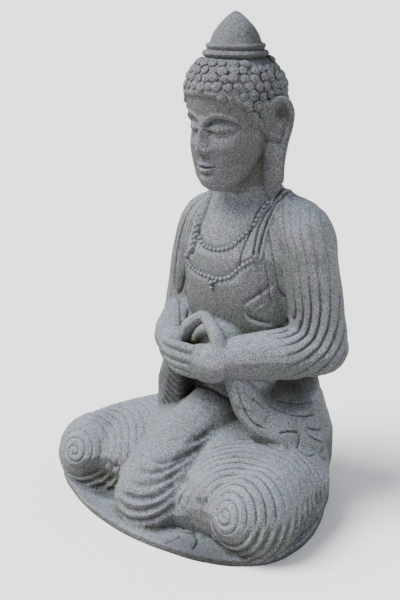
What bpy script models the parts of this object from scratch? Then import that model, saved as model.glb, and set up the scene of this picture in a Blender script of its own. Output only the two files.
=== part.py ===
"""A figure carved from one block of volcanic stone, seated cross-legged on a low slab.

The body is first laid up as overlapping rounded masses, which a voxel remesh fuses into one skin.
The cap of hair and the face are then carved into that skin by functions of position.
The figure faces -Y, its left hand is at +X, and the origin is the middle of the slab's underside.
Places on the figure are shares of its height above the slab, so that the pose grows with it.
"""

import math

import bmesh
import bpy
import numpy as np
from mathutils import Matrix, Vector

FIGURE_HEIGHT = 0.986
SLAB_THICKNESS = 0.014
VOXEL = 0.0030
SMOOTHING = 12
TRIANGLES = 9700


def clear_scene():
    for thing in list(bpy.data.objects):
        bpy.data.objects.remove(thing)


def ellipsoid(centre, radii):
    """A ball stretched to three radii."""
    bpy.ops.mesh.primitive_ico_sphere_add(subdivisions=5, radius=1.0)
    ball = bpy.context.object
    ball.data.transform(Matrix.Translation(Vector(centre)) @ Matrix.Diagonal((*radii, 1.0)))
    return ball


def limb(stations):
    """A round limb through stations of (x, y, z, radius), with a ball at each end."""
    curve = bpy.data.curves.new("limb", "CURVE")
    curve.dimensions = "3D"
    curve.bevel_depth = 1.0
    curve.bevel_resolution = 6
    curve.use_fill_caps = True
    spline = curve.splines.new("BEZIER")
    spline.bezier_points.add(len(stations) - 1)
    for point, (x, y, z, radius) in zip(spline.bezier_points, stations):
        point.co = (x, y, z)
        point.radius = radius
        point.handle_left_type = point.handle_right_type = "AUTO"
    tube = bpy.data.objects.new("limb", curve)
    bpy.context.collection.objects.link(tube)
    ends = [ellipsoid(s[:3], (s[3],) * 3) for s in (stations[0], stations[-1])]
    return [tube, *ends]


def mirrored(stations):
    return [(-x, y, z, r) for x, y, z, r in stations]


def loft(sections, sides=48):
    """A skin over superellipse sections of (z, middle y, half width, half depth, squareness)."""
    bm = bmesh.new()
    rings = []
    for z, middle, wide, deep, square in sections:
        ring = []
        for k in range(sides):
            angle = 2 * math.pi * k / sides
            c, s = math.cos(angle), math.sin(angle)
            x = wide * math.copysign(abs(c) ** (2 / square), c)
            y = middle + deep * math.copysign(abs(s) ** (2 / square), s)
            ring.append(bm.verts.new((x, y, z)))
        rings.append(ring)
    for low, high in zip(rings, rings[1:]):
        for k in range(sides):
            n = (k + 1) % sides
            bm.faces.new((low[k], low[n], high[n], high[k]))
    bm.faces.new(rings[0][::-1])
    bm.faces.new(rings[-1])
    mesh = bpy.data.meshes.new("loft")
    bm.to_mesh(mesh)
    bm.free()
    skin = bpy.data.objects.new("loft", mesh)
    bpy.context.collection.objects.link(skin)
    return skin


def hull(balls):
    """The rounded convex hull of balls of (x, y, z, radius), used for a hanging length of cloth."""
    bm = bmesh.new()
    for x, y, z, radius in balls:
        bmesh.ops.create_icosphere(bm, subdivisions=2, radius=radius, matrix=Matrix.Translation((x, y, z)))
    made = bmesh.ops.convex_hull(bm, input=bm.verts)
    bmesh.ops.delete(bm, geom=made["geom_interior"], context="VERTS")
    mesh = bpy.data.meshes.new("hull")
    bm.to_mesh(mesh)
    bm.free()
    cloth = bpy.data.objects.new("hull", mesh)
    bpy.context.collection.objects.link(cloth)
    return cloth


def turned(profile, axis_x, axis_y, steps=64):
    """A solid of revolution from (radius, z) points listed from top to bottom."""
    mesh = bpy.data.meshes.new("turned")
    points = [(radius, 0.0, z) for radius, z in profile]
    mesh.from_pydata(points, [(k, k + 1) for k in range(len(points) - 1)], [])
    solid = bpy.data.objects.new("turned", mesh)
    bpy.context.collection.objects.link(solid)
    screw = solid.modifiers.new("Screw", "SCREW")
    screw.steps = screw.render_steps = steps
    screw.use_merge_vertices = True
    screw.merge_threshold = 0.0001
    solid.location = (axis_x, axis_y, 0.0)
    return solid


TORSO = [
    (-0.010, 0.020, 0.176, 0.128, 2.3),
    (0.060, 0.020, 0.190, 0.130, 2.3),
    (0.120, 0.020, 0.190, 0.132, 2.3),
    (0.180, 0.016, 0.175, 0.124, 2.2),
    (0.240, 0.012, 0.156, 0.114, 2.2),
    (0.300, 0.008, 0.144, 0.108, 2.2),
    (0.380, 0.004, 0.144, 0.110, 2.2),
    (0.460, 0.002, 0.148, 0.114, 2.2),
    (0.520, 0.002, 0.148, 0.112, 2.2),
    (0.570, 0.004, 0.140, 0.100, 2.2),
    (0.610, 0.006, 0.118, 0.082, 2.1),
    (0.637, 0.004, 0.084, 0.064, 2.0),
    (0.660, -0.004, 0.066, 0.058, 2.0),
    (0.710, -0.020, 0.064, 0.058, 2.0),
    (0.745, -0.030, 0.062, 0.056, 2.0),
    (0.775, -0.038, 0.058, 0.052, 2.0),
]
LEFT_UPPER_ARM = [
    (0.085, 0.004, 0.599, 0.049),
    (0.140, 0.002, 0.567, 0.062),
    (0.158, 0.000, 0.500, 0.061),
    (0.174, 0.002, 0.420, 0.061),
    (0.190, 0.000, 0.338, 0.061),
]
RIGHT_UPPER_ARM = [
    (-0.075, 0.004, 0.582, 0.049),
    (-0.116, 0.002, 0.557, 0.059),
    (-0.142, 0.000, 0.490, 0.059),
    (-0.158, 0.000, 0.410, 0.058),
    (-0.170, -0.002, 0.342, 0.058),
]
LEFT_FOREARM = [
    (0.186, -0.004, 0.332, 0.058),
    (0.150, -0.080, 0.332, 0.055),
    (0.104, -0.138, 0.331, 0.046),
    (0.064, -0.172, 0.327, 0.037),
]
RIGHT_FOREARM = [
    (-0.166, -0.004, 0.340, 0.056),
    (-0.132, -0.068, 0.335, 0.051),
    (-0.100, -0.125, 0.331, 0.045),
    (-0.062, -0.160, 0.328, 0.036),
]
THIGH = [
    (0.085, 0.030, 0.072, 0.092),
    (0.155, -0.060, 0.068, 0.093),
    (0.204, -0.155, 0.064, 0.089),
    (0.224, -0.243, 0.060, 0.087),
]
SHIN = [
    (0.220, -0.250, 0.046, 0.072),
    (0.120, -0.245, 0.034, 0.056),
    (0.000, -0.265, 0.036, 0.058),
]
APRON = [
    (0.000, -0.080, 0.188, 0.062),
    (-0.006, -0.140, 0.152, 0.068),
    (-0.018, -0.205, 0.108, 0.076),
    (-0.018, -0.255, 0.064, 0.082),
    (-0.012, -0.280, 0.034, 0.084),
]
HEM = [
    (0.136, 0.062, 0.018, 0.034),
    (0.180, 0.004, 0.024, 0.036),
    (0.222, -0.072, 0.028, 0.038),
    (0.244, -0.150, 0.030, 0.041),
    (0.238, -0.225, 0.028, 0.041),
]
LAP = ((0.0, -0.070, 0.070), (0.215, 0.180, 0.114))
LEFT_SEAT = ((0.141, -0.136, 0.072), (0.146, 0.156, 0.088))
LAP_CLOTH = ((-0.060, -0.145, 0.095), (0.085, 0.100, 0.092))
RIGHT_SEAT = ((-0.141, -0.136, 0.072), (0.148, 0.156, 0.093))
LEFT_SLEEVE = [
    (0.078, -0.155, 0.320, 0.016),
    (0.088, -0.158, 0.275, 0.014),
    (0.110, -0.157, 0.226, 0.015),
    (0.142, -0.146, 0.186, 0.018),
    (0.150, -0.110, 0.170, 0.018),
    (0.110, -0.080, 0.180, 0.030),
    (0.110, -0.060, 0.310, 0.020),
]
LEFT_HIP = [
    (0.142, -0.146, 0.182, 0.018),
    (0.182, -0.100, 0.158, 0.022),
    (0.198, -0.030, 0.132, 0.030),
    (0.130, 0.000, 0.130, 0.034),
    (0.148, -0.010, 0.235, 0.026),
    (0.120, -0.070, 0.232, 0.024),
    (0.110, -0.080, 0.180, 0.030),
]
RIGHT_SLEEVE = [
    (-0.072, -0.145, 0.320, 0.016),
    (-0.095, -0.118, 0.320, 0.022),
    (-0.140, -0.020, 0.300, 0.030),
    (-0.110, 0.000, 0.250, 0.030),
    (-0.070, -0.138, 0.215, 0.012),
    (-0.072, -0.142, 0.140, 0.012),
    (-0.110, -0.150, 0.140, 0.014),
    (-0.116, -0.136, 0.230, 0.018),
    (-0.150, -0.050, 0.140, 0.030),
    (-0.120, 0.000, 0.130, 0.034),
]
SKULL = [
    (0.652, -0.100, 0.018, 0.018, 2.0),
    (0.662, -0.096, 0.036, 0.036, 2.0),
    (0.680, -0.088, 0.053, 0.050, 2.1),
    (0.705, -0.079, 0.065, 0.062, 2.1),
    (0.735, -0.067, 0.073, 0.077, 2.1),
    (0.765, -0.058, 0.079, 0.090, 2.1),
    (0.795, -0.052, 0.084, 0.098, 2.1),
    (0.825, -0.050, 0.088, 0.103, 2.1),
    (0.855, -0.050, 0.089, 0.103, 2.1),
    (0.878, -0.052, 0.082, 0.095, 2.0),
    (0.896, -0.053, 0.070, 0.080, 2.0),
    (0.910, -0.052, 0.056, 0.062, 2.0),
    (0.922, -0.050, 0.040, 0.044, 2.0),
]
TOPKNOT = [
    (0.000, 1.0000),
    (0.0055, 0.9985),
    (0.0120, 0.9940),
    (0.0225, 0.9850),
    (0.0360, 0.9710),
    (0.0460, 0.9560),
    (0.0515, 0.9400),
    (0.0525, 0.9390),
    (0.0580, 0.9380),
    (0.0605, 0.9335),
    (0.0580, 0.9290),
    (0.0550, 0.9275),
    (0.0570, 0.9260),
    (0.0640, 0.9245),
    (0.0670, 0.9190),
    (0.0640, 0.9135),
    (0.0570, 0.9115),
    (0.0500, 0.9000),
    (0.000, 0.8900),
]
EAR_RIM = [
    (0.082, -0.054, 0.785, 0.0060),
    (0.087, -0.060, 0.805, 0.0060),
    (0.097, -0.054, 0.828, 0.0062),
    (0.109, -0.036, 0.836, 0.0064),
    (0.115, -0.018, 0.818, 0.0064),
    (0.112, -0.014, 0.785, 0.0066),
    (0.103, -0.020, 0.750, 0.0090),
    (0.096, -0.026, 0.710, 0.0120),
    (0.094, -0.028, 0.676, 0.0130),
]
EAR_BOWL = [
    (0.078, -0.056, 0.795, 0.0050),
    (0.086, -0.054, 0.820, 0.0050),
    (0.100, -0.035, 0.831, 0.0050),
    (0.108, -0.017, 0.814, 0.0050),
    (0.105, -0.015, 0.785, 0.0050),
    (0.095, -0.022, 0.750, 0.0070),
    (0.074, -0.048, 0.765, 0.0070),
]


def mirrored_pair(centre, radii):
    x, y, z = centre
    return [ellipsoid((side * x, y, z), radii) for side in (-1, 1)]


def masses():
    """The rounded masses of the body, in shares of the figure's height above the slab."""
    made = [loft(TORSO)]
    for stations in (LEFT_UPPER_ARM, RIGHT_UPPER_ARM, LEFT_FOREARM, RIGHT_FOREARM, APRON):
        made += limb(stations)
    for stations in (THIGH, SHIN, HEM):
        made += limb(stations)
        made += limb(mirrored(stations))
    for balls in (LEFT_SLEEVE, LEFT_HIP, RIGHT_SLEEVE):
        made.append(hull(balls))
    for centre, radii in (LAP, LAP_CLOTH, LEFT_SEAT, RIGHT_SEAT):
        made.append(ellipsoid(centre, radii))
    return made


def head():
    made = [loft(SKULL), turned(TOPKNOT, 0.0, -0.050)]
    for stations in (EAR_RIM, mirrored(EAR_RIM)):
        made += limb(stations)
    for balls in (EAR_BOWL, mirrored(EAR_BOWL)):
        made.append(hull(balls))
    made += mirrored_pair((0.080, -0.026, 0.708), (0.022, 0.022, 0.075))
    return made


LEFT_PALM = ((0.046, -0.186, 0.316), (0.058, 0.027, 0.040))
RIGHT_PALM = ((-0.052, -0.172, 0.320), (0.046, 0.022, 0.038))
BEHIND_HANDS = ((0.012, -0.112, 0.338), (0.060, 0.044, 0.040))
FINGERS = [
    [(0.020, -0.198, 0.342, 0.0106), (-0.026, -0.202, 0.344, 0.0104), (-0.066, -0.185, 0.340, 0.0092)],
    [(0.020, -0.202, 0.323, 0.0106), (-0.028, -0.205, 0.325, 0.0104), (-0.072, -0.185, 0.321, 0.0092)],
    [(0.020, -0.200, 0.304, 0.0102), (-0.026, -0.202, 0.306, 0.0100), (-0.068, -0.183, 0.303, 0.0088)],
    [(0.020, -0.192, 0.287, 0.0096), (-0.020, -0.196, 0.289, 0.0092), (-0.056, -0.180, 0.287, 0.0082)],
]
LEFT_THUMB = [
    (0.076, -0.180, 0.345, 0.0190),
    (0.064, -0.176, 0.374, 0.0165),
    (0.024, -0.164, 0.404, 0.0120),
]
RIGHT_THUMB = [
    (-0.030, -0.178, 0.345, 0.0165),
    (-0.014, -0.172, 0.380, 0.0150),
    (0.014, -0.166, 0.404, 0.0125),
]


def hands():
    """The left hand lies in front of the right, and the thumbs meet above them."""
    made = []
    for centre, radii in (LEFT_PALM, RIGHT_PALM, BEHIND_HANDS):
        made.append(ellipsoid(centre, radii))
    for stations in (*FINGERS, LEFT_THUMB, RIGHT_THUMB):
        made += limb(stations)
    return made


SLAB_OUTLINE = [
    (0.000, -0.371),
    (0.100, -0.364),
    (0.188, -0.343),
    (0.248, -0.306),
    (0.280, -0.260),
    (0.288, -0.200),
    (0.280, -0.140),
    (0.260, -0.080),
    (0.225, -0.010),
    (0.185, 0.060),
    (0.128, 0.115),
    (0.060, 0.137),
    (0.000, 0.142),
    (-0.060, 0.137),
    (-0.128, 0.115),
    (-0.188, 0.060),
    (-0.237, -0.010),
    (-0.282, -0.085),
    (-0.316, -0.150),
    (-0.332, -0.210),
    (-0.324, -0.254),
    (-0.282, -0.288),
    (-0.228, -0.315),
    (-0.173, -0.338),
    (-0.100, -0.358),
]


def slab():
    curve = bpy.data.curves.new("slab", "CURVE")
    curve.dimensions = "2D"
    curve.fill_mode = "BOTH"
    curve.extrude = SLAB_THICKNESS
    spline = curve.splines.new("BEZIER")
    spline.bezier_points.add(len(SLAB_OUTLINE) - 1)
    for point, (x, y) in zip(spline.bezier_points, SLAB_OUTLINE):
        point.co = (x * FIGURE_HEIGHT, y * FIGURE_HEIGHT, 0.0)
        point.handle_left_type = point.handle_right_type = "AUTO"
    spline.use_cyclic_u = True
    plate = bpy.data.objects.new("slab", curve)
    bpy.context.collection.objects.link(plate)
    return plate


def joined(things, figure_things):
    """One mesh of all the masses, with the figure's scaled to size and set on the slab."""
    graph = bpy.context.evaluated_depsgraph_get()
    grow = Matrix.Translation((0, 0, SLAB_THICKNESS)) @ Matrix.Scale(FIGURE_HEIGHT, 4)
    bm = bmesh.new()
    for thing in things + figure_things:
        evaluated = thing.evaluated_get(graph)
        mesh = bpy.data.meshes.new_from_object(evaluated)
        mesh.transform(thing.matrix_world)
        if thing in figure_things:
            mesh.transform(grow)
        one = bmesh.new()
        one.from_mesh(mesh)
        bmesh.ops.remove_doubles(one, verts=one.verts, dist=1e-5)
        bmesh.ops.recalc_face_normals(one, faces=one.faces)
        one.to_mesh(mesh)
        one.free()
        bm.from_mesh(mesh)
    mesh = bpy.data.meshes.new("clay")
    bm.to_mesh(mesh)
    bm.free()
    for thing in things + figure_things:
        bpy.data.objects.remove(thing)
    return mesh


def fused(mesh, voxel, rounds):
    """The masses fused into one skin, the robe smoothed more than the head, hands and slab."""
    clay = bpy.data.objects.new("clay", mesh)
    bpy.context.collection.objects.link(clay)
    remesh = clay.modifiers.new("Remesh", "REMESH")
    remesh.mode = "VOXEL"
    remesh.voxel_size = voxel
    bpy.context.view_layer.update()
    graph = bpy.context.evaluated_depsgraph_get()
    skin = bpy.data.meshes.new_from_object(clay.evaluated_get(graph))
    bpy.data.objects.remove(clay)
    bm = bmesh.new()
    bm.from_mesh(skin)
    collar = 0.63 * FIGURE_HEIGHT + SLAB_THICKNESS
    body = [v for v in bm.verts if 2 * SLAB_THICKNESS < v.co.z < collar and v.co.y > -0.175 * FIGURE_HEIGHT]
    axes = {"use_axis_x": True, "use_axis_y": True, "use_axis_z": True}
    for _ in range(rounds):
        bmesh.ops.smooth_vert(bm, verts=body, factor=0.5, **axes)
    for _ in range(2):
        bmesh.ops.smooth_vert(bm, verts=bm.verts, factor=0.5, **axes)
    bm.to_mesh(skin)
    bm.free()
    return skin


def ease(low, high, value):
    """A smooth step from 0 at low to 1 at high."""
    t = np.clip((value - low) / (high - low), 0.0, 1.0)
    return t * t * (3.0 - 2.0 * t)


def bell(value, width):
    return np.exp(-((value / width) ** 2))


def face_relief(x, z):
    """How far the face stands out from the plain skull, in shares of the height."""
    x = np.abs(x)
    brow = 0.805 - np.where(x < 0.034, 20.0, 13.0) * (x - 0.034) ** 2
    across = ease(0.006, 0.014, x) * (1.0 - ease(0.060, 0.074, x))
    socket = -0.0080 * across * ease(0.0, 0.005, brow - z) * ease(0.740, 0.785, z)
    ridge = 0.0028 * across * bell(z - brow - 0.003, 0.0036)
    oval = 1.0 - ((x - 0.034) / 0.0240) ** 2 - ((z - 0.779) / 0.0120) ** 2
    seam = 0.7760 - 0.0045 * (1.0 - ((x - 0.034) / 0.0240) ** 2)
    lid = 0.0078 * np.clip(oval, 0.0, 1.0) ** 0.6 * (1.0 - 0.45 * ease(0.0, 0.004, seam - z))
    slit = -0.0050 * bell(z - seam, 0.0022) * (1.0 - ease(0.020, 0.028, np.abs(x - 0.034)))
    rise = np.interp(z, [0.727, 0.733, 0.741, 0.765, 0.792, 0.806], [0.0, 0.013, 0.018, 0.012, 0.006, 0.0])
    width = np.interp(z, [0.733, 0.744, 0.765, 0.790], [0.0125, 0.0115, 0.0085, 0.0080])
    nose = rise * bell(x, width)
    wing = 0.0080 * bell(x - 0.0125, 0.0058) * bell(z - 0.7365, 0.0065)
    nostril = -0.0045 * bell(x - 0.0065, 0.0034) * bell(z - 0.7290, 0.0034)
    philtrum = -0.0018 * bell(x, 0.0030) * ease(0.712, 0.716, z) * (1.0 - ease(0.722, 0.727, z))
    line = 0.7035 + 0.0022 * (x / 0.0235) ** 2
    full = np.clip(1.0 - (x / 0.0245) ** 2, 0.0, 1.0)
    upper = 0.0080 * full * np.sin(np.pi * np.clip((z - line) / (0.0105 * full + 0.001), 0.0, 1.0)) ** 0.7
    lower = 0.0090 * full * np.sin(np.pi * np.clip((line - z) / (0.0120 * full + 0.001), 0.0, 1.0)) ** 0.7
    mouth = -0.0038 * bell(z - line, 0.0020) * (1.0 - ease(0.022, 0.027, x))
    under = -0.0035 * bell(z - 0.6880, 0.0040) * bell(x, 0.016)
    chin = 0.0050 * bell(x, 0.017) * bell(z - 0.672, 0.011)
    cheek = 0.0035 * bell(x - 0.044, 0.022) * bell(z - 0.735, 0.022)
    brows = socket + ridge + lid + slit
    return brows + nose + wing + nostril + philtrum + upper + lower + mouth + under + chin + cheek


def hairline(turn):
    """The height of the hairline at an angle from the front, in degrees."""
    angles = [0, 35, 62, 76, 95, 120, 180]
    heights = [0.843, 0.838, 0.806, 0.780, 0.755, 0.735, 0.725]
    return np.interp(np.abs(turn), angles, heights)


HAIR_CAP = 0.0056
HOLLOWS = [
    ((-0.150, -0.300, 0.034), (0.095, 0.075, 0.050), 0.020),
    ((0.125, -0.298, 0.036), (0.050, 0.065, 0.046), 0.012),
    ((0.170, -0.045, 0.242), (0.080, 0.105, 0.036), 0.024),
]


def hollows(places):
    """How far the skin stands back in scooped places under the knees and the elbow."""
    depth = np.zeros(len(places))
    for centre, radii, scoop in HOLLOWS:
        away = (places - np.array(centre)) / np.array(radii)
        depth -= scoop * np.clip(1.0 - (away**2).sum(axis=1), 0.0, 1.0) ** 1.5
    return depth


def carve(skin):
    """Scoops the hollows, raises the cap of hair and works the face into the front of the skull."""
    count = len(skin.vertices)
    places = np.empty(count * 3)
    normals = np.empty(count * 3)
    skin.vertices.foreach_get("co", places)
    skin.vertices.foreach_get("normal", normals)
    places = places.reshape(-1, 3)
    normals = normals.reshape(-1, 3)
    shares = (places - np.array([0.0, 0.0, SLAB_THICKNESS])) / FIGURE_HEIGHT
    places += normals * (hollows(shares) * FIGURE_HEIGHT)[:, None]
    x, y, z = shares.T
    turn = np.degrees(np.arctan2(x, -(y + 0.050)))
    reach = np.hypot(x, y + 0.050)
    on_skull = (1.0 - ease(0.098, 0.104, np.abs(x))) * (1.0 - ease(0.906, 0.912, z))
    hair = ease(0.0, 0.005, z - hairline(turn)) * on_skull * ease(0.045, 0.060, reach)
    places += normals * (hair * HAIR_CAP * FIGURE_HEIGHT)[:, None]
    front = ease(0.085, 0.115, -y) * ease(0.646, 0.660, z) * (1.0 - ease(0.830, 0.842, z))
    facing = ease(0.10, 0.45, -normals[:, 1])
    places[:, 1] -= face_relief(x, z) * front * facing * FIGURE_HEIGHT
    skin.vertices.foreach_set("co", places.ravel())
    skin.update()


def centre_over_origin(skin):
    """Moves the figure so that its box is centred over the origin."""
    xs = [v.co.x for v in skin.vertices]
    ys = [v.co.y for v in skin.vertices]
    middle = Vector((max(xs) + min(xs), max(ys) + min(ys), 0.0)) / 2
    skin.transform(Matrix.Translation(-middle))


def stone():
    """Plain grey volcanic stone."""
    material = bpy.data.materials.new("stone")
    material.use_nodes = True
    shader = material.node_tree.nodes["Principled BSDF"]
    shader.inputs["Base Color"].default_value = (0.235, 0.245, 0.250, 1.0)
    shader.inputs["Roughness"].default_value = 0.75
    material.diffuse_color = (0.235, 0.245, 0.250, 1.0)
    return material


def collection(name):
    made = bpy.data.collections.new(name)
    bpy.context.scene.collection.children.link(made)
    return made


def ground_cutter(into):
    """A block below the ground that cuts the underside flat."""
    bpy.ops.mesh.primitive_cube_add(size=1.0, location=(0.0, 0.0, -0.5))
    block = bpy.context.object
    block.name = "ground_cutter"
    block.scale = (2.0, 2.0, 1.0)
    for owner in list(block.users_collection):
        owner.objects.unlink(block)
    into.objects.link(block)
    block.hide_render = True
    block.display_type = "WIRE"
    return block


def thinned(skin, triangles):
    """The skin reduced to a number of triangles, keeping the most where it curves."""
    rough = bpy.data.objects.new("rough", skin)
    bpy.context.collection.objects.link(rough)
    split = rough.modifiers.new("Triangulate", "TRIANGULATE")
    split.keep_custom_normals = False
    faces = sum(len(face.vertices) - 2 for face in skin.polygons)
    decimate = rough.modifiers.new("Decimate", "DECIMATE")
    decimate.ratio = triangles / faces
    bpy.context.view_layer.update()
    graph = bpy.context.evaluated_depsgraph_get()
    made = bpy.data.meshes.new_from_object(rough.evaluated_get(graph))
    bpy.data.objects.remove(rough)
    return made


def main():
    clear_scene()
    parts = collection("seated_figure")
    cutters = collection("cutters")
    skin = fused(joined([slab()], masses() + head() + hands()), VOXEL, SMOOTHING)
    carve(skin)
    skin = thinned(skin, TRIANGLES)
    centre_over_origin(skin)
    skin.name = "carved_seated_figure"
    skin.materials.clear()
    skin.materials.append(stone())
    figure = bpy.data.objects.new("carved_seated_figure", skin)
    parts.objects.link(figure)
    cut = figure.modifiers.new("Flat underside", "BOOLEAN")
    cut.operation = "DIFFERENCE"
    cut.solver = "EXACT"
    cut.object = ground_cutter(cutters)


main()
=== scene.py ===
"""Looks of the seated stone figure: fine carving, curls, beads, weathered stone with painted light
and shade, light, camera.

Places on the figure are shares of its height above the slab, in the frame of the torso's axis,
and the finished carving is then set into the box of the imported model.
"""

import math
import random

import bmesh
import bpy
import numpy as np
from mathutils import Matrix, Vector
from mathutils.bvhtree import BVHTree
from mathutils.kdtree import KDTree


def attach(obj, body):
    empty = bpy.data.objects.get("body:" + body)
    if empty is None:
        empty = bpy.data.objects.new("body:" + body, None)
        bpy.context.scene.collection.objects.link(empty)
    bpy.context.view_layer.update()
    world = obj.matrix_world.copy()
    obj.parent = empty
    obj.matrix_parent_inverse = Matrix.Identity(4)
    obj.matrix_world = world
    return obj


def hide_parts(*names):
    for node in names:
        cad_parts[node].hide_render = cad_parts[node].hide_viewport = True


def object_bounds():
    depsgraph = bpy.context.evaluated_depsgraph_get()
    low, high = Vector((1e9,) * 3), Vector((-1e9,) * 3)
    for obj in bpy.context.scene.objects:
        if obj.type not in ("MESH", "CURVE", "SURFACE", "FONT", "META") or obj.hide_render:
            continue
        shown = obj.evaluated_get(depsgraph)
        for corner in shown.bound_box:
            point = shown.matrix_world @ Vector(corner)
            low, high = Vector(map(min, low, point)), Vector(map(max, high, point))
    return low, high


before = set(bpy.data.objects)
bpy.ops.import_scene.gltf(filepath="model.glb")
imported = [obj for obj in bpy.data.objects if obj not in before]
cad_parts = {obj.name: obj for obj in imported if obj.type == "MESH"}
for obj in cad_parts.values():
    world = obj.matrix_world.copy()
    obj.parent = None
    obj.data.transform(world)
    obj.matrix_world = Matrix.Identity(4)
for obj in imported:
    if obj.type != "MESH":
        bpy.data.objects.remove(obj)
cad_box = [list(corner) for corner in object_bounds()]

FIGURE_HEIGHT = 0.986
SLAB_THICKNESS = 0.014
VOXEL = 0.0017
TRIANGLES = 196000
HEAD_AXIS_Y = -0.050

# The spacing of the carved folds, in shares of the height.
ARM_PLEAT = 0.0180
KNEE_PLEAT = 0.0168
APRON_FOLD = 0.0180
SLEEVE_RIB = 0.0115
HIP_FOLD = 0.026
BACK_FOLD = 0.058
SCARF_TWIST = 0.0125

# The width and depth of single carved lines, in shares of the height.
SWAG_CUT = (0.0080, -0.0062)
LAPEL_CUT = (0.0026, -0.0058)
SHAWL_CUT = (0.0026, -0.0036)
FOLD_CUT = (0.0048, -0.0046)
HIP_CUT = (0.0021, -0.0036)
EDGE_CUT = (0.0022, -0.0040)
SLEEVE_HEM_CUT = (0.0026, -0.0034)
BEAD_BED = (0.0085, -0.0028)

# Hair curls and beads: the curl in shares of the height, the bead's radius in metres.
CURL = 0.0200
ROW_STEP = 0.80
CURL_STEP = 0.98
CROWN_RING = 0.068
BEAD = 0.0050
BEAD_STEP = 2.15

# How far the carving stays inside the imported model's box, over both sides together.
BOX_CLEARANCE = 0.0004


def thousandths(points):
    """Points, or lines of points, given in thousandths of the height."""
    if isinstance(points, (list, tuple)):
        made = [thousandths(q) for q in points]
        return tuple(made) if isinstance(points, tuple) else made
    return points / 1000


def linked(name, data):
    """An object in the scene, for a mesh or a curve."""
    made = bpy.data.objects.new(name, data)
    bpy.context.collection.objects.link(made)
    return made


def mesh_from(bm, name):
    """A mesh with what was built, which is then freed."""
    mesh = bpy.data.meshes.new(name)
    bm.to_mesh(mesh)
    bm.free()
    return mesh


def modified(thing):
    """The mesh that an object's modifiers make of it. The object is then removed."""
    bpy.context.view_layer.update()
    graph = bpy.context.evaluated_depsgraph_get()
    mesh = bpy.data.meshes.new_from_object(thing.evaluated_get(graph))
    bpy.data.objects.remove(thing)
    return mesh


def ellipsoid(centre, radii):
    """A ball stretched to three radii."""
    bpy.ops.mesh.primitive_ico_sphere_add(subdivisions=4, radius=1.0)
    ball = bpy.context.object
    ball.data.transform(Matrix.Translation(Vector(centre)) @ Matrix.Diagonal((*radii, 1.0)))
    return ball


def limb(stations):
    """A round limb through stations of (x, y, z, radius), with a ball at each end."""
    curve = bpy.data.curves.new("limb", "CURVE")
    curve.dimensions = "3D"
    curve.bevel_depth = 1.0
    curve.bevel_resolution = 6
    curve.use_fill_caps = True
    spline = curve.splines.new("BEZIER")
    spline.bezier_points.add(len(stations) - 1)
    for point, (x, y, z, radius) in zip(spline.bezier_points, stations):
        point.co = (x, y, z)
        point.radius = radius
        point.handle_left_type = point.handle_right_type = "AUTO"
    tube = linked("limb", curve)
    ends = [ellipsoid(s[:3], (s[3],) * 3) for s in (stations[0], stations[-1])]
    return [tube, *ends]


def mirrored(points):
    """The same points or stations on the other side."""
    return [(-x, *rest) for x, *rest in points]


def loft(sections, sides=48):
    """A skin over superellipse sections of (z, middle y, half width, half depth, squareness)."""
    bm = bmesh.new()
    rings = []
    for z, middle, wide, deep, square in sections:
        ring = []
        for k in range(sides):
            angle = 2 * math.pi * k / sides
            c, s = math.cos(angle), math.sin(angle)
            x = wide * math.copysign(abs(c) ** (2 / square), c)
            y = middle + deep * math.copysign(abs(s) ** (2 / square), s)
            ring.append(bm.verts.new((x, y, z)))
        rings.append(ring)
    for low, high in zip(rings, rings[1:]):
        for k in range(sides):
            n = (k + 1) % sides
            bm.faces.new((low[k], low[n], high[n], high[k]))
    bm.faces.new(rings[0][::-1])
    bm.faces.new(rings[-1])
    return linked("loft", mesh_from(bm, "loft"))


def hull(balls):
    """The rounded convex hull of balls of (x, y, z, radius), used for a hanging length of cloth."""
    bm = bmesh.new()
    for x, y, z, radius in balls:
        place = Matrix.Translation((x, y, z))
        bmesh.ops.create_icosphere(bm, subdivisions=2, radius=radius, matrix=place)
    made = bmesh.ops.convex_hull(bm, input=bm.verts)
    bmesh.ops.delete(bm, geom=made["geom_interior"], context="VERTS")
    return linked("hull", mesh_from(bm, "hull"))


def turned(profile, axis_x, axis_y, steps=64):
    """A solid of revolution from (radius, z) points listed from top to bottom."""
    mesh = bpy.data.meshes.new("turned")
    points = [(radius, 0.0, z) for radius, z in profile]
    mesh.from_pydata(points, [(k, k + 1) for k in range(len(points) - 1)], [])
    solid = linked("turned", mesh)
    screw = solid.modifiers.new("Screw", "SCREW")
    screw.steps = screw.render_steps = steps
    screw.use_merge_vertices = True
    screw.merge_threshold = 0.0001
    solid.location = (axis_x, axis_y, 0.0)
    return solid


TORSO = [
    (-0.01, 0.02, 0.176, 0.128, 2.3), (0.06, 0.02, 0.19, 0.13, 2.3),
    (0.12, 0.02, 0.19, 0.132, 2.3), (0.18, 0.016, 0.175, 0.124, 2.2),
    (0.24, 0.012, 0.156, 0.114, 2.2), (0.3, 0.008, 0.144, 0.108, 2.2),
    (0.38, 0.004, 0.144, 0.11, 2.2), (0.46, 0.002, 0.148, 0.114, 2.2),
    (0.52, 0.002, 0.148, 0.112, 2.2), (0.57, 0.004, 0.14, 0.1, 2.2),
    (0.61, 0.006, 0.118, 0.082, 2.1), (0.637, 0.004, 0.084, 0.064, 2.0),
    (0.66, -0.004, 0.066, 0.058, 2.0), (0.71, -0.02, 0.064, 0.058, 2.0),
    (0.745, -0.03, 0.062, 0.056, 2.0), (0.775, -0.038, 0.058, 0.052, 2.0),
]
LEFT_UPPER_ARM = thousandths([
    (85, 4, 599, 49), (140, 2, 567, 62), (158, 0, 500, 61), (174, 2, 420, 61), (190, 0, 338, 61),
])
RIGHT_UPPER_ARM = thousandths([
    (-75, 4, 582, 49), (-116, 2, 557, 59), (-142, 0, 490, 59), (-158, 0, 410, 58),
    (-170, -2, 342, 58),
])
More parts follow.
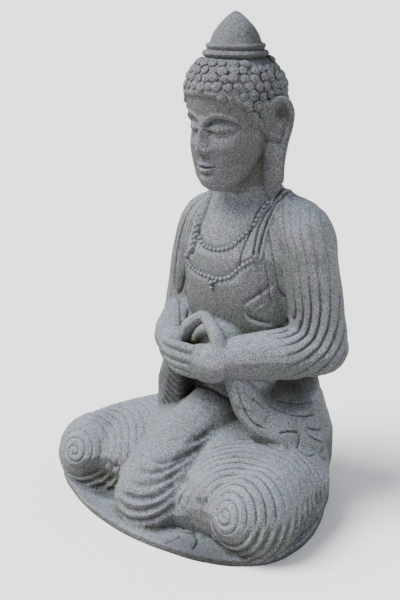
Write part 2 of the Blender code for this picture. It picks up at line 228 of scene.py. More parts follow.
LEFT_FOREARM = thousandths([
    (186, -4, 332, 58), (150, -80, 332, 55), (104, -138, 331, 46), (64, -172, 327, 37),
])
RIGHT_FOREARM = thousandths([
    (-166, -4, 340, 56), (-132, -68, 335, 51), (-100, -125, 331, 45), (-62, -160, 328, 36),
])
THIGH = thousandths([
    (85, 30, 72, 92), (155, -60, 68, 93), (204, -155, 64, 89), (224, -243, 60, 87),
])
SHIN = thousandths([
    (220, -250, 46, 72), (120, -245, 34, 56), (0, -265, 36, 58),
])
APRON = thousandths([
    (0, -80, 188, 62), (-6, -140, 152, 68), (-18, -205, 108, 76), (-18, -255, 64, 82),
    (-12, -280, 34, 84),
])
HEM = thousandths([
    (136, 62, 18, 34), (180, 4, 24, 36), (222, -72, 28, 38), (244, -150, 30, 41),
    (238, -225, 28, 41),
])
LAP = ((0.0, -0.070, 0.070), (0.215, 0.180, 0.114))
LEFT_SEAT = ((0.141, -0.136, 0.072), (0.146, 0.156, 0.088))
LAP_CLOTH = ((-0.060, -0.145, 0.095), (0.085, 0.100, 0.092))
RIGHT_SEAT = ((-0.141, -0.136, 0.072), (0.148, 0.156, 0.093))
LEFT_SLEEVE = thousandths([
    (78, -155, 320, 16), (88, -158, 275, 14), (110, -157, 226, 15), (142, -146, 186, 18),
    (150, -110, 170, 18), (110, -80, 180, 30), (110, -60, 310, 20),
])
LEFT_HIP = thousandths([
    (142, -146, 182, 18), (182, -100, 158, 22), (198, -30, 132, 30), (130, 0, 130, 34),
    (148, -10, 235, 26), (120, -70, 232, 24), (110, -80, 180, 30),
])
RIGHT_SLEEVE = thousandths([
    (-72, -145, 320, 16), (-95, -118, 320, 22), (-140, -20, 300, 30), (-110, 0, 250, 30),
    (-70, -138, 215, 12), (-72, -142, 140, 12), (-110, -150, 140, 14), (-116, -136, 230, 18),
    (-150, -50, 140, 30), (-120, 0, 130, 34),
])
SKULL = [
    (0.652, -0.1, 0.018, 0.018, 2.0), (0.662, -0.096, 0.036, 0.036, 2.0),
    (0.68, -0.088, 0.053, 0.05, 2.1), (0.705, -0.079, 0.065, 0.062, 2.1),
    (0.735, -0.067, 0.073, 0.077, 2.1), (0.765, -0.058, 0.079, 0.09, 2.1),
    (0.795, -0.052, 0.084, 0.098, 2.1), (0.825, -0.05, 0.088, 0.103, 2.1),
    (0.855, -0.05, 0.089, 0.103, 2.1), (0.878, -0.052, 0.082, 0.095, 2.0),
    (0.896, -0.053, 0.07, 0.08, 2.0), (0.91, -0.052, 0.056, 0.062, 2.0),
    (0.922, -0.05, 0.04, 0.044, 2.0),
]
TOPKNOT = [
    (0.0, 1.0), (0.0055, 0.9985), (0.012, 0.994), (0.0225, 0.985), (0.036, 0.971),
    (0.046, 0.956), (0.0515, 0.94), (0.0525, 0.939), (0.058, 0.938), (0.0605, 0.9335),
    (0.058, 0.929), (0.055, 0.9275), (0.057, 0.926), (0.064, 0.9245), (0.067, 0.919),
    (0.064, 0.9135), (0.057, 0.9115), (0.05, 0.9), (0.0, 0.89),
]
EAR_RIM = [
    (0.082, -0.054, 0.785, 0.006), (0.087, -0.06, 0.805, 0.006), (0.097, -0.054, 0.828, 0.0062),
    (0.109, -0.036, 0.836, 0.0064), (0.115, -0.018, 0.818, 0.0064), (0.112, -0.014, 0.785, 0.0066),
    (0.103, -0.02, 0.75, 0.009), (0.096, -0.026, 0.71, 0.012), (0.094, -0.028, 0.676, 0.013),
]
EAR_BOWL = thousandths([
    (78, -56, 795, 5), (86, -54, 820, 5), (100, -35, 831, 5), (108, -17, 814, 5),
    (105, -15, 785, 5), (95, -22, 750, 7), (74, -48, 765, 7),
])


def head():
    """The skull, the ringed cone, the long ears and the strands of neck below them."""
    made = [loft(SKULL), turned(TOPKNOT, 0.0, HEAD_AXIS_Y)]
    for stations in (EAR_RIM, mirrored(EAR_RIM)):
        made += limb(stations)
    for balls in (EAR_BOWL, mirrored(EAR_BOWL)):
        made.append(hull(balls))
    for side in (-1, 1):
        made.append(ellipsoid((side * 0.080, -0.026, 0.708), (0.022, 0.022, 0.075)))
    return made


LEFT_PALM = ((0.046, -0.186, 0.316), (0.058, 0.027, 0.040))
RIGHT_PALM = ((-0.052, -0.172, 0.320), (0.046, 0.022, 0.038))
BEHIND_HANDS = ((0.012, -0.112, 0.338), (0.060, 0.044, 0.040))
FINGERS = [
    [
        (0.02, -0.198, 0.342, 0.0106), (-0.026, -0.202, 0.344, 0.0104),
        (-0.066, -0.185, 0.34, 0.0092),
    ],
    [
        (0.02, -0.202, 0.323, 0.0106), (-0.028, -0.205, 0.325, 0.0104),
        (-0.072, -0.185, 0.321, 0.0092),
    ],
    [
        (0.02, -0.2, 0.304, 0.0102), (-0.026, -0.202, 0.306, 0.01),
        (-0.068, -0.183, 0.303, 0.0088),
    ],
    [
        (0.02, -0.192, 0.287, 0.0096), (-0.02, -0.196, 0.289, 0.0092),
        (-0.056, -0.18, 0.287, 0.0082),
    ],
]
LEFT_THUMB = [
    (0.076, -0.18, 0.345, 0.019), (0.064, -0.176, 0.374, 0.0165), (0.024, -0.164, 0.404, 0.012),
]
RIGHT_THUMB = [
    (-0.03, -0.178, 0.345, 0.0165), (-0.014, -0.172, 0.38, 0.015),
    (0.014, -0.166, 0.404, 0.0125),
]


def hands():
    """The left hand lies in front of the right, and the thumbs meet above them."""
    made = []
    for centre, radii in (LEFT_PALM, RIGHT_PALM, BEHIND_HANDS):
        made.append(ellipsoid(centre, radii))
    for stations in (*FINGERS, LEFT_THUMB, RIGHT_THUMB):
        made += limb(stations)
    return made


SLAB_OUTLINE = thousandths([
    (0, -371), (100, -364), (188, -343), (248, -306), (280, -260), (288, -200), (280, -140),
    (260, -80), (225, -10), (185, 60), (128, 115), (60, 137), (0, 142), (-60, 137), (-128, 115),
    (-188, 60), (-237, -10), (-282, -85), (-316, -150), (-332, -210), (-324, -254), (-282, -288),
    (-228, -315), (-173, -338), (-100, -358),
])


def slab():
    """The low slab under the legs, whose lower half is cut off at the floor later."""
    curve = bpy.data.curves.new("slab", "CURVE")
    curve.dimensions = "2D"
    curve.fill_mode = "BOTH"
    curve.extrude = SLAB_THICKNESS
    spline = curve.splines.new("BEZIER")
    spline.bezier_points.add(len(SLAB_OUTLINE) - 1)
    for point, (x, y) in zip(spline.bezier_points, SLAB_OUTLINE):
        point.co = (x * FIGURE_HEIGHT, y * FIGURE_HEIGHT, 0.0)
        point.handle_left_type = point.handle_right_type = "AUTO"
    spline.use_cyclic_u = True
    return linked("slab", curve)


def ease(low, high, value):
    """A smooth step from 0 at low to 1 at high."""
    t = np.clip((value - low) / (high - low), 0.0, 1.0)
    return t * t * (3.0 - 2.0 * t)


def bell(value, width):
    """A smooth bump of height 1 at 0."""
    return np.exp(-((value / width) ** 2))


def face_relief(x, z):
    """How far the face stands out from the plain skull, in shares of the height."""
    x = np.abs(x)
    brow = 0.805 - np.where(x < 0.034, 20.0, 13.0) * (x - 0.034) ** 2
    across = ease(0.006, 0.014, x) * (1.0 - ease(0.060, 0.074, x))
    socket = -0.0080 * across * ease(0.0, 0.005, brow - z) * ease(0.740, 0.785, z)
    ridge = 0.0028 * across * bell(z - brow - 0.003, 0.0036)
    oval = 1.0 - ((x - 0.034) / 0.0240) ** 2 - ((z - 0.779) / 0.0120) ** 2
    seam = 0.7760 - 0.0045 * (1.0 - ((x - 0.034) / 0.0240) ** 2)
    lid = 0.0078 * np.clip(oval, 0.0, 1.0) ** 0.6 * (1.0 - 0.45 * ease(0.0, 0.004, seam - z))
    slit = -0.0050 * bell(z - seam, 0.0022) * (1.0 - ease(0.020, 0.028, np.abs(x - 0.034)))
    bridge = [0.727, 0.733, 0.741, 0.765, 0.792, 0.806]
    rise = np.interp(z, bridge, [0.0, 0.013, 0.018, 0.012, 0.006, 0.0])
    width = np.interp(z, [0.733, 0.744, 0.765, 0.790], [0.0125, 0.0115, 0.0085, 0.0080])
    nose = rise * bell(x, width)
    wing = 0.0080 * bell(x - 0.0125, 0.0058) * bell(z - 0.7365, 0.0065)
    nostril = -0.0045 * bell(x - 0.0065, 0.0034) * bell(z - 0.7290, 0.0034)
    philtrum = -0.0018 * bell(x, 0.0030) * ease(0.712, 0.716, z) * (1.0 - ease(0.722, 0.727, z))
    line = 0.7035 + 0.0022 * (x / 0.0235) ** 2
    full = np.clip(1.0 - (x / 0.0245) ** 2, 0.0, 1.0)
    over = np.clip((z - line) / (0.0105 * full + 0.001), 0.0, 1.0)
    below = np.clip((line - z) / (0.0120 * full + 0.001), 0.0, 1.0)
    upper = 0.0080 * full * np.sin(np.pi * over) ** 0.7
    lower = 0.0090 * full * np.sin(np.pi * below) ** 0.7
    mouth = -0.0038 * bell(z - line, 0.0020) * (1.0 - ease(0.022, 0.027, x))
    under = -0.0035 * bell(z - 0.6880, 0.0040) * bell(x, 0.016)
    chin = 0.0050 * bell(x, 0.017) * bell(z - 0.672, 0.011)
    cheek = 0.0035 * bell(x - 0.044, 0.022) * bell(z - 0.735, 0.022)
    brows = socket + ridge + lid + slit
    return brows + nose + wing + nostril + philtrum + upper + lower + mouth + under + chin + cheek


def hairline(turn):
    """The height of the hairline at an angle from the front, in degrees."""
    angles = [0, 35, 62, 76, 95, 120, 180]
    heights = [0.843, 0.838, 0.806, 0.780, 0.755, 0.735, 0.725]
    return np.interp(np.abs(turn), angles, heights)


HAIR_CAP = 0.0056
HOLLOWS = [
    ((-0.15, -0.3, 0.034), (0.095, 0.075, 0.05), 0.02),
    ((0.125, -0.298, 0.036), (0.05, 0.065, 0.046), 0.012),
    ((0.17, -0.045, 0.242), (0.08, 0.105, 0.036), 0.024),
]


def hollows(places):
    """How far the skin stands back in scooped places under the knees and the elbow."""
    depth = np.zeros(len(places))
    for centre, radii, scoop in HOLLOWS:
        away = (places - np.array(centre)) / np.array(radii)
        depth -= scoop * np.clip(1.0 - (away**2).sum(axis=1), 0.0, 1.0) ** 1.5
    return depth


def grouped(groups):
    """One mesh of all the masses, and a search tree that says which group a place belongs to."""
    graph = bpy.context.evaluated_depsgraph_get()
    grow = Matrix.Translation((0, 0, SLAB_THICKNESS)) @ Matrix.Scale(FIGURE_HEIGHT, 4)
    everything = bmesh.new()
    corners = []
    triangles = []
    owners = []
    for owner, things in enumerate(groups):
        for thing in things:
            mesh = bpy.data.meshes.new_from_object(thing.evaluated_get(graph))
            mesh.transform(thing.matrix_world)
            if owner > 0:
                mesh.transform(grow)
            one = bmesh.new()
            one.from_mesh(mesh)
            bmesh.ops.remove_doubles(one, verts=one.verts, dist=1e-5)
            bmesh.ops.recalc_face_normals(one, faces=one.faces)
            one.to_mesh(mesh)
            one.free()
            everything.from_mesh(mesh)
            mesh.calc_loop_triangles()
            start = len(corners)
            corners += [v.co.copy() for v in mesh.vertices]
            triangles += [tuple(start + k for k in t.vertices) for t in mesh.loop_triangles]
            owners += [owner] * len(mesh.loop_triangles)
            bpy.data.meshes.remove(mesh)
            bpy.data.objects.remove(thing)
    return mesh_from(everything, "clay"), BVHTree.FromPolygons(corners, triangles), owners


def array_of(mesh, name):
    """A vector of each vertex, its place or its normal, as rows of an array."""
    values = np.empty(len(mesh.vertices) * 3, np.float32)
    mesh.vertices.foreach_get(name, values)
    return values.reshape(-1, 3).astype(np.float64)


def edges_of(mesh):
    """The two vertices of each edge, as rows of an array."""
    pairs = np.empty(len(mesh.edges) * 2, np.int32)
    mesh.edges.foreach_get("vertices", pairs)
    return pairs.reshape(-1, 2)


def spread(values, edges, rounds, weight=None):
    """Values averaged with their neighbours, a number of times."""
    values = np.array(values, np.float64)
    flat = values.ndim == 1
    if flat:
        values = values[:, None]
    count = len(values)
    degree = np.bincount(edges.ravel(), minlength=count)[:, None] + 1e-9
    for _ in range(rounds):
        total = np.empty_like(values)
        for k in range(values.shape[1]):
            column = values[:, k]
            total[:, k] = np.bincount(edges[:, 0], column[edges[:, 1]], count)
            total[:, k] += np.bincount(edges[:, 1], column[edges[:, 0]], count)
        mixed = 0.5 * values + 0.5 * total / degree
        values = mixed if weight is None else values + (mixed - values) * weight[:, None]
    return values[:, 0] if flat else values


def curve_through(points, steps=8):
    """A smooth line of points through the given ones."""
    p = [np.array(q, float) for q in points]
    if len(p) < 3:
        return p
    p = [2 * p[0] - p[1], *p, 2 * p[-1] - p[-2]]
    line = []
    for a, b, c, d in zip(p, p[1:], p[2:], p[3:]):
        for k in range(steps):
            t = k / steps
            square = (2 * a - 5 * b + 4 * c - d) * t**2
            cube = (3 * b - a - 3 * c + d) * t**3
            line.append(0.5 * (2 * b + (c - a) * t + square + cube))
    line.append(p[-2])
    return line


def distance_to(places, line):
    """Distance from each place to a line of points, and how far along it the nearest point lies."""
    nearest = np.full(len(places), 1e9)
    along = np.zeros(len(places))
    done = 0.0
    for a, b in zip(line, line[1:]):
        run = b - a
        length = max(np.linalg.norm(run), 1e-9)
        t = np.clip((places - a) @ run / length**2, 0.0, 1.0)
        gap = np.linalg.norm(places - a - t[:, None] * run, axis=1)
        closer = gap < nearest
        nearest = np.where(closer, gap, nearest)
        along = np.where(closer, done + t * length, along)
        done += length
    return nearest, along


def midline(one, other):
    """The points halfway between two lines."""
    return [tuple((np.array(a) + np.array(b)) / 2) for a, b in zip(one, other)]


def stroke(places, line, width, depth, fade=0.012):
    """A chiselled groove (or a ridge, for a positive depth) along a line on the surface."""
    low = np.min(line, axis=0) - 4 * width
    high = np.max(line, axis=0) + 4 * width
    near = np.all((places > low) & (places < high), axis=1)
    relief = np.zeros(len(places))
    if near.any():
        gap, along = distance_to(places[near], line)
        whole = sum(np.linalg.norm(b - a) for a, b in zip(line, line[1:]))
        ends = ease(0.0, fade, along + width) * ease(0.0, fade, whole - along + width)
        relief[near] = depth * np.exp(-((gap / width) ** 2)) * (0.35 + 0.65 * ends)
    return relief


def folds(phase):
    """Broad rounded folds parted by narrow grooves."""
    return -np.abs(2 * (phase - np.floor(phase)) - 1) ** 3.5


def flutes(phase):
    """Hollow flutes parted by narrow ridges."""
    return np.abs(2 * (phase - np.floor(phase)) - 1) ** 1.6 - 1


def layers(phase):
    """Layers of cloth that each rise slowly and end in a step."""
    t = phase - np.floor(phase)
    return np.where(t < 0.84, (t / 0.84) ** 0.8 - 1, -(np.clip((t - 0.84) / 0.16, 0, 1) ** 1.2))


def wander(places, scale, seed):
    """A slow random wave, so that carved lines aren't ruled."""
    rng = np.random.default_rng(seed)
    total = np.zeros(len(places))
    for _ in range(5):
        direction = rng.normal(size=3)
        direction /= np.linalg.norm(direction)
        total += np.sin(places @ direction * scale * rng.uniform(0.6, 1.6) + rng.uniform(0, 6.28))
    return total / 5


LEFT_CREASE = thousandths([
    (70, -20, 655), (96, -40, 616), (128, -56, 543), (146, -60, 460), (152, -72, 402),
    (122, -108, 384), (80, -150, 372),
])
KNEE = (0.212, -0.322, 0.088)
LAPEL_OUTER = thousandths([
    (96, 10, 645), (100, -18, 634), (96, -34, 627), (94, -44, 612), (94, -62, 586), (95, -76, 560),
    (95, -85, 529),
])
LAPEL_INNER = thousandths([
    (82, 4, 648), (88, -24, 632), (87, -42, 618), (84, -56, 604), (83, -70, 582), (84, -82, 556),
    (86, -90, 527),
])
SHAWL_EDGE = thousandths([
    (70, -50, 622), (70, -71, 593), (67, -88, 560), (62, -98, 532), (60, -102, 505),
])
SCARF_OUTER = thousandths([
    (-100, 5, 634), (-94, -30, 624), (-80, -52, 608), (-78, -68, 590), (-82, -79, 568),
    (-84, -86, 545), (-82, -92, 520),
])
SCARF_INNER = thousandths([
    (-76, 4, 648), (-66, -36, 632), (-58, -60, 612), (-58, -76, 590), (-60, -88, 565),
    (-64, -94, 540), (-72, -95, 520),
])
FOLDS = thousandths([
    [(116, -72, 467), (100, -86, 452), (83, -93, 438), (71, -97, 426)],
    [(68, -97, 411), (79, -92, 399), (96, -83, 391), (114, -69, 388)],
    [(-62, -105, 228), (-36, -108, 214), (0, -112, 208), (40, -112, 214), (70, -105, 232)],
])
HIP_LINES = thousandths([
    [(138, -68, 225), (150, -51, 219), (168, -35, 216), (178, -6, 216)],
    [(142, -102, 229), (160, -88, 214), (181, -74, 206), (193, -47, 198), (198, -15, 196)],
    [(203, -55, 178), (212, -22, 166), (206, 15, 168)],
    [(210, -58, 166), (221, -39, 150), (223, -15, 139), (206, 25, 142)],
    [(212, -108, 152), (224, -101, 146), (235, -85, 137), (232, -60, 132)],
    [(226, -50, 133), (232, -34, 114), (224, -4, 100), (202, 40, 106)],
])
LAPPET = thousandths([
    (181, -120, 181), (192, -99, 181), (201, -81, 175), (208, -84, 160), (213, -96, 151),
])
SWAGS = thousandths([
    [(55, -157, 175), (51, -181, 166), (45, -205, 157), (36, -228, 153)],
    [(55, -189, 152), (50, -222, 137), (38, -261, 129), (20, -290, 125), (-2, -301, 127)],
    [(49, -232, 134), (42, -260, 124), (33, -291, 116), (10, -316, 111), (-24, -322, 110)],
    [
        (51, -251, 116), (47, -276, 107), (40, -303, 99), (24, -326, 93), (4, -339, 90),
        (-28, -341, 88),
    ],
    [
        (55, -273, 97), (51, -298, 85), (46, -323, 76), (32, -341, 69), (12, -352, 66),
        (-19, -357, 65), (-42, -349, 66),
    ],
    [
        (62, -284, 81), (58, -308, 67), (52, -330, 56), (36, -347, 48), (16, -357, 41),
        (-12, -361, 39), (-36, -358, 46),
    ],
    [
        (71, -294, 68), (65, -311, 48), (54, -330, 35), (38, -346, 24), (16, -356, 18),
        (-12, -360, 15), (-36, -358, 20),
    ],
])
SLAB_LINES = thousandths([
    [(93, -361, 0), (94, -340, 0), (98, -317, 0)],
    [(84, -306, 0), (100, -298, 0), (116, -297, 0), (136, -315, 0), (149, -343, 0)],
])
UPPER_BEADS = thousandths([
    (79, -40, 628), (77, -58, 608), (69, -79, 579), (52, -93, 559), (35, -101, 541),
    (10, -106, 531), (-11, -106, 529), (-39, -102, 533), (-56, -96, 548),
])
LOWER_BEADS = thousandths([
    (-94, -84, 484), (-74, -98, 477), (-51, -105, 473), (-16, -110, 470), (14, -110, 470),
    (39, -107, 480), (56, -103, 497), (77, -96, 514), (93, -86, 529),
])
LAPEL_MIDDLE = midline(LAPEL_OUTER, LAPEL_INNER)
SCARF_MIDDLE = midline(SCARF_OUTER, SCARF_INNER)
SLEEVE_HEM = thousandths([
    (108, -165, 272), (117, -165, 250), (132, -163, 222), (150, -155, 202), (172, -132, 192),
])
GROUPS = [
    "slab", "torso", "left_arm", "right_arm", "left_sleeve", "right_sleeve", "left_leg",
    "right_leg", "apron", "head", "hands",
]


def groups_of_masses():
    """The rounded masses of the body, one list for each name in GROUPS."""
    left_leg = limb(THIGH) + limb(SHIN) + limb(HEM)
    right_leg = limb(mirrored(THIGH)) + limb(mirrored(SHIN)) + limb(mirrored(HEM))
    return [
        [slab()],
        [loft(TORSO), ellipsoid(*LAP), ellipsoid(*LAP_CLOTH)],
        limb(LEFT_UPPER_ARM) + limb(LEFT_FOREARM),
        limb(RIGHT_UPPER_ARM) + limb(RIGHT_FOREARM),
        [hull(LEFT_SLEEVE), hull(LEFT_HIP)],
        [hull(RIGHT_SLEEVE)],
        [*left_leg, ellipsoid(*LEFT_SEAT)],
        [*right_leg, ellipsoid(*RIGHT_SEAT)],
        limb(APRON),
        head(),
        hands(),
    ]


def fused(clay):
    """One skin over all the masses."""
    thing = linked("clay", clay)
    remesh = thing.modifiers.new("Remesh", "REMESH")
    remesh.mode = "VOXEL"
    remesh.voxel_size = VOXEL
    return modified(thing)


def shares(places):
    """Places in metres as shares of the figure's height above the slab."""
    return (places - np.array([0.0, 0.0, SLAB_THICKNESS])) / FIGURE_HEIGHT


def uneven(places, scale, seed, low=0.15):
    """How deep the chisel went, from low to a little over 1."""
    return np.clip(0.78 + 1.2 * wander(places, scale, seed), low, 1.15)


def arm_pleats(relief, p, part):
    """Pleats that run down each arm in step with the crease between arm and chest."""
    x, y, z = p.T
    for side, arm, wrist in ((1, "left_arm", -0.105), (-1, "right_arm", -0.140)):
        crease = LEFT_CREASE if side > 0 else mirrored(LEFT_CREASE)
        chest = ease(0.085, 0.105, side * x) * ease(0.40, 0.45, z)
        weight = part[arm] + 0.9 * part["torso"] * chest
        picked = weight > 0.01
        q = p[picked]
        gap, _ = distance_to(q, curve_through(crease, 5))
        phase = (gap + 0.0045 * wander(q, 24, 3)) / ARM_PLEAT
        fade = ease(0.652, 0.600, z[picked]) * ease(wrist - 0.03, wrist + 0.01, y[picked])
        fade = fade * ease(0.006, 0.016, gap)
        depth = 0.0058 * fade * uneven(q, 24, 4, 0.40)
        form = 0.6 * layers(phase) + 0.8 * folds(phase + 0.08)
        relief[picked] += np.clip(weight[picked], 0, 1) * depth * form


def knee_pleats(relief, p, n, part):
    """A spiral of pleats round each knee, deep on the side and shallow on top."""
    for side, leg in ((1, "left_leg"), (-1, "right_leg")):
        picked = part[leg] > 0.01
        q = p[picked]
        away = q - np.array([side * KNEE[0], KNEE[1], KNEE[2]])
        gap = np.linalg.norm(away, axis=1)
        turn = np.arctan2(away[:, 2], side * away[:, 0] * 0.743 + 0.669 * away[:, 1])
        phase = (gap + 0.0030 * wander(q, 22, 5)) / KNEE_PLEAT + turn / (2 * math.pi)
        fade = ease(0.001, 0.006, gap) * (0.15 + 0.85 * ease(0.36, 0.20, gap)) * part[leg][picked]
        up = ease(-0.05, 0.45, n[picked, 2])
        if side > 0:
            fade *= 1 - ease(0.0003, 0.0050, -hollows(q))
            fade *= np.maximum(ease(0.100, 0.135, q[:, 0]), up)
        shallow = (0.0042 if side > 0 else 0.0034) * uneven(q, 26, 6, 0.30)
        centre = ease(0.075, 0.030, gap)
        top = up * (1 - centre) * shallow + centre * 0.0034
        below = 0.0080 * uneven(q, 18, 8, 0.6)
        form = top * folds(phase) + (1 - up) * (1 - centre) * below * flutes(phase)
        relief[picked] += fade * form


def apron_folds(relief, p, part, snapped):
    """Fine folds of the apron between the legs, and the deep swags that hang across it."""
    x, y, z = p.T
    picked = part["apron"] > 0.01
    q = p[picked]
    phase = (-0.60 * y[picked] - 0.80 * z[picked] + 0.0040 * wander(q, 16, 7)) / APRON_FOLD
    fade = 0.0012 * part["apron"][picked] * ease(-0.120, -0.160, y[picked])
    relief[picked] += fade * folds(phase) * uneven(q, 24, 10, 0.2)
    swag = np.zeros(len(p))
    for line in SWAGS:
        swag = np.minimum(swag, stroke(p, snapped(line), *SWAG_CUT, 0.045))
    relief += swag * (1.0 - 0.35 * ease(0.045, 0.060, x))


def sleeve_folds(relief, p, part):
    """Ribs of the far sleeve, and broad folds round the near hip."""
    x, y, z = p.T
    picked = part["right_sleeve"] > 0.01
    phase = (0.75 * z[picked] + 0.66 * x[picked] - 0.2 * y[picked]) / SLEEVE_RIB
    ribs = part["right_sleeve"][picked] * 0.0020 * folds(phase)
    relief[picked] += ribs * ease(-0.140, -0.105, x[picked])
    picked = part["left_sleeve"] > 0.01
    q = p[picked]
    away = np.hypot(q[:, 1] - 0.02, q[:, 2] - 0.36) + 0.3 * (q[:, 0] - 0.1)
    phase = (away + 0.004 * wander(q, 20, 12)) / HIP_FOLD
    fade = part["left_sleeve"][picked] * 0.0030 * layers(phase) * ease(0.10, 0.13, x[picked])
    relief[picked] += fade * ease(0.200, 0.230, z[picked]) * uneven(q, 30, 13, 0.2)


def back_folds(relief, p, n, part):
    """Slack folds that hang across the back."""
    x, _, z = p.T
    picked = (part["torso"] > 0.01) & (n[:, 1] > 0.0)
    q = p[picked]
    phase = (z[picked] - 3.2 * (x[picked] - 0.03) ** 2 + 0.010 * wander(q, 9, 9)) / BACK_FOLD
    behind = part["torso"][picked] * ease(0.1, 0.5, n[picked, 1]) * ease(0.60, 0.50, z[picked])
    behind = behind * ease(0.12, 0.22, z[picked])
    relief[picked] += 0.0030 * behind * layers(phase) * uneven(q, 14, 14, 0.1)


def drawn_lines(relief, p, part, snapped):
    """Lapel, shawl, twisted scarf, folds, hems, and the beds that the beads lie in."""
    lapel, _ = distance_to(p, snapped(LAPEL_MIDDLE))
    relief += 0.0034 * ease(0.016, 0.010, lapel) * (1 - part["head"])
    for line in (LAPEL_OUTER, LAPEL_INNER):
        relief += stroke(p, snapped(line), *LAPEL_CUT)
    relief += stroke(p, snapped(SHAWL_EDGE), *SHAWL_CUT)
    scarf, along = distance_to(p, snapped(SCARF_MIDDLE))
    twist = np.sin((along / SCARF_TWIST + scarf / 0.018) * 2 * math.pi) * uneven(p, 60, 24, 0.2)
    rim = 0.0030 * np.exp(-(((scarf - 0.0145) / 0.0022) ** 2))
    relief += ease(0.0135, 0.0085, scarf) * (0.0044 + 0.0015 * twist) - rim
    for line in FOLDS:
        relief += stroke(p, snapped(line), *FOLD_CUT, 0.035)
    for line in HIP_LINES:
        relief += stroke(p, snapped(line), *HIP_CUT)
        relief += stroke(p, snapped(mirrored(line)), *HIP_CUT)
    for line in (LAPPET, *SLAB_LINES):
        relief += stroke(p, snapped(line), *EDGE_CUT)
    relief += stroke(p, snapped(SLEEVE_HEM), *SLEEVE_HEM_CUT, 0.030)
    for string in (UPPER_BEADS, LOWER_BEADS):
        relief += stroke(p, snapped(string), *BEAD_BED)


def robe_relief(p, n, part, snapped):
    """How far the carved robe stands out from the plain skin, in shares of the height."""
    relief = np.zeros(len(p))
    arm_pleats(relief, p, part)
    knee_pleats(relief, p, n, part)
    apron_folds(relief, p, part, snapped)
    sleeve_folds(relief, p, part)
    back_folds(relief, p, n, part)
    drawn_lines(relief, p, part, snapped)
    return relief


def carve_face(places, normals):
    """The cap of hair and the face, in metres on the skin."""
    p = shares(places)
    x, y, z = p.T
    turn = np.degrees(np.arctan2(x, -(y - HEAD_AXIS_Y)))
    reach = np.hypot(x, y - HEAD_AXIS_Y)
    on_skull = (1.0 - ease(0.098, 0.104, np.abs(x))) * (1.0 - ease(0.906, 0.912, z))
    above = z - hairline(turn)
    hair = ease(0.0, 0.0035, above) * (0.5 + 0.55 * bell(above - 0.007, 0.006))
    hair *= on_skull * ease(0.045, 0.060, reach)
    places += normals * (hair * HAIR_CAP * FIGURE_HEIGHT)[:, None]
    bowl = ((p - np.array([0.0, -0.034, 0.806])) / np.array([1.0, 0.017, 0.021])) ** 2
    bowl = np.clip(1.0 - bowl[:, 1] - bowl[:, 2], 0.0, 1.0) * ease(0.094, 0.100, np.abs(x))
    outward = ease(0.1, 0.5, normals[:, 0] * np.sign(x))
    places[:, 0] -= np.sign(x) * 0.0050 * bowl * outward * FIGURE_HEIGHT
    front = ease(0.085, 0.115, -y) * ease(0.646, 0.660, z) * (1.0 - ease(0.830, 0.842, z))
    facing = ease(0.10, 0.45, -normals[:, 1])
    places[:, 1] -= face_relief(x, z) * front * facing * FIGURE_HEIGHT
    return places


def update(mesh, places):
    """Moves the vertices of a mesh to new places."""
    mesh.vertices.foreach_set("co", places.astype(np.float32).ravel())
    mesh.update()


def sculpt():
    """The whole carving: masses fused, softened and hollowed, then face, robe and chisel marks."""
    clay, tree, owners = grouped(groups_of_masses())
    skin = fused(clay)
    places = array_of(skin, "co")
    edges = edges_of(skin)
    nearest = [tree.find_nearest(v.co)[2] for v in skin.vertices]
    owner = np.array(owners)[np.array(nearest)]
    part = {}
    for k, name in enumerate(GROUPS):
        part[name] = spread((owner == k).astype(float), edges, 10)
    crisp = part["head"] + part["hands"] + part["slab"] + 0.7 * part["right_sleeve"]
    soft = 1.0 - np.clip(crisp, 0.0, 1.0)
    places = spread(places, edges, 34, 0.08 + 0.92 * soft)
    update(skin, places)
    normals = spread(array_of(skin, "normal"), edges, 2)
    normals /= np.linalg.norm(normals, axis=1)[:, None]
    places += normals * (hollows(shares(places)) * FIGURE_HEIGHT)[:, None]
    p = shares(places)
    finder = KDTree(len(p))
    for k, q in enumerate(p.tolist()):
        finder.insert(q, k)
    finder.balance()

    def snapped(points):
        """A smooth line through the points, laid onto the skin."""
        line = [np.array(finder.find(Vector(q))[0]) for q in curve_through(points, 6)]
        middle = [(a + 2 * b + c) / 4 for a, b, c in zip(line, line[1:], line[2:])]
        return [line[0], *middle, line[-1]]

    relief = robe_relief(p, normals, part, snapped)
    places = carve_face(places, normals)
    places += normals * (relief * FIGURE_HEIGHT)[:, None]
    rough = 0.0006 * wander(p, 90, 21) + 0.0005 * wander(p, 230, 22) * soft
    rough = rough + 0.0012 * wander(p, 26, 23) * soft
    places += normals * (rough * 0.6)[:, None]
    update(skin, places)
    normals = array_of(skin, "normal")
    wide = spread(places, edges, 30)
    # How far each place lies below its neighbours, more in cut lines; the material paints these
    # darker, as dirt and as painted shade.
    hollow = np.einsum("ij,ij->i", wide - places, normals)
    cut = np.clip((-relief - 0.0012) / 0.0042, 0.0, 1.0)
    give(skin, "hollow", np.clip(hollow / 0.0024 + 0.55 * cut, -1.0, 1.25))
    return skin


def give(mesh, name, values):
    """A value for each vertex, which the material reads by name."""
    numbers = mesh.attributes.new(name, "FLOAT", "POINT").data
    numbers.foreach_set("value", np.asarray(values, np.float32))


